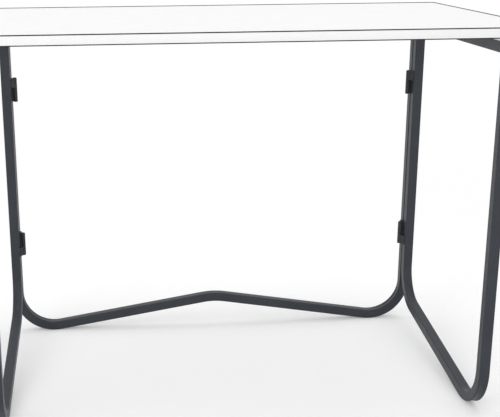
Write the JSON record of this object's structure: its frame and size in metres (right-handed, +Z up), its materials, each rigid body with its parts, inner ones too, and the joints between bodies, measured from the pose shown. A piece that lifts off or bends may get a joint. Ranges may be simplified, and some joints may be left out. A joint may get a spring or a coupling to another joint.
{
  "type": "folding study table",
  "caption": "Folding study table: a loose rectangular white top on a screen-like base of bent square-tube frames joined by barrel hinges.",
  "frame": {"origin": "on the floor, under the middle of the tabletop", "axes": "+X to the right as a sitter at the open front sees it, +Y to the back, towards the rear frame, +Z up"},
  "size_m": [1, 0.62, 0.7292],
  "materials": {
    "frame_paint": "anthracite powder coat, satin, fine orange-peel",
    "hinge_paint": "darker anthracite powder coat, satin",
    "pin_steel": "blackened steel, satin",
    "washer_nylon": "dark nylon, matt",
    "plug_plastic": "moulded, matt",
    "chipboard": "raw chipboard",
    "white_laminate": "white melamine, fine satin texture",
    "white_edging": "white edging, satin",
    "dark_bead": "near black edging bead, satin",
    "white_strip": "white, matt",
    "screw_zinc": "zinc plated"
  },
  "bodies": {
    "rear_frame": {"rear_left_leg_tube": "frame_paint", "rear_right_leg_tube": "frame_paint", "rear_lower_rail": "frame_paint", "rear_top_rail": "frame_paint", "rear_left_leg_plug": "plug_plastic", "rear_right_leg_plug": "plug_plastic", "left_upper_fixed_leaf": "hinge_paint", "left_upper_hinge_pin": "pin_steel", "left_upper_hinge_washer": "washer_nylon", "left_lower_fixed_leaf": "hinge_paint", "left_lower_hinge_pin": "pin_steel", "left_lower_hinge_washer": "washer_nylon", "right_upper_fixed_leaf": "hinge_paint", "right_upper_hinge_pin": "pin_steel", "right_upper_hinge_washer": "washer_nylon", "right_lower_fixed_leaf": "hinge_paint", "right_lower_hinge_pin": "pin_steel", "right_lower_hinge_washer": "washer_nylon"},
    "left_frame": {"left_frame_tube": "frame_paint", "left_top_rail": "frame_paint", "left_rear_leg_plug": "plug_plastic", "left_front_leg_plug": "plug_plastic", "left_upper_swing_leaf": "hinge_paint", "left_lower_swing_leaf": "hinge_paint"},
    "right_frame": {"right_frame_tube": "frame_paint", "right_top_rail": "frame_paint", "right_rear_leg_plug": "plug_plastic", "right_front_leg_plug": "plug_plastic", "right_upper_swing_leaf": "hinge_paint", "right_lower_swing_leaf": "hinge_paint"},
    "tabletop": {"board_core": "chipboard", "top_sheet": "white_laminate", "under_sheet": "white_laminate", "front_edge_band": "white_edging", "rear_edge_band": "white_edging", "left_edge_band": "white_edging", "right_edge_band": "white_edging", "top_edge_bead": "dark_bead", "under_edge_bead": "dark_bead", "left_bearing_strip": "white_strip", "right_bearing_strip": "white_strip", "rear_bearing_strip": "white_strip", "left_locating_strip": "white_strip", "right_locating_strip": "white_strip", "rear_locating_strip": "white_strip", "left_front_stop": "white_strip", "right_front_stop": "white_strip", "bearing_strip_screws": "screw_zinc", "locating_strip_screws": "screw_zinc"}
  },
  "joints": [
    {"name": "left_frame_fold", "type": "hinge", "parent": "rear_frame", "child": "left_frame", "pos_m": [-0.4325, 0.25, 0], "axis": [0, 0, 1], "range_deg": [0, 90]},
    {"name": "right_frame_fold", "type": "hinge", "parent": "rear_frame", "child": "right_frame", "pos_m": [0.4325, 0.25, 0], "axis": [0, 0, -1], "range_deg": [0, 86]},
    {"name": "tabletop_lift", "type": "slide", "parent": "rear_frame", "child": "tabletop", "axis": [0, 0, 1], "range_m": [0, 0.3]}
  ]
}
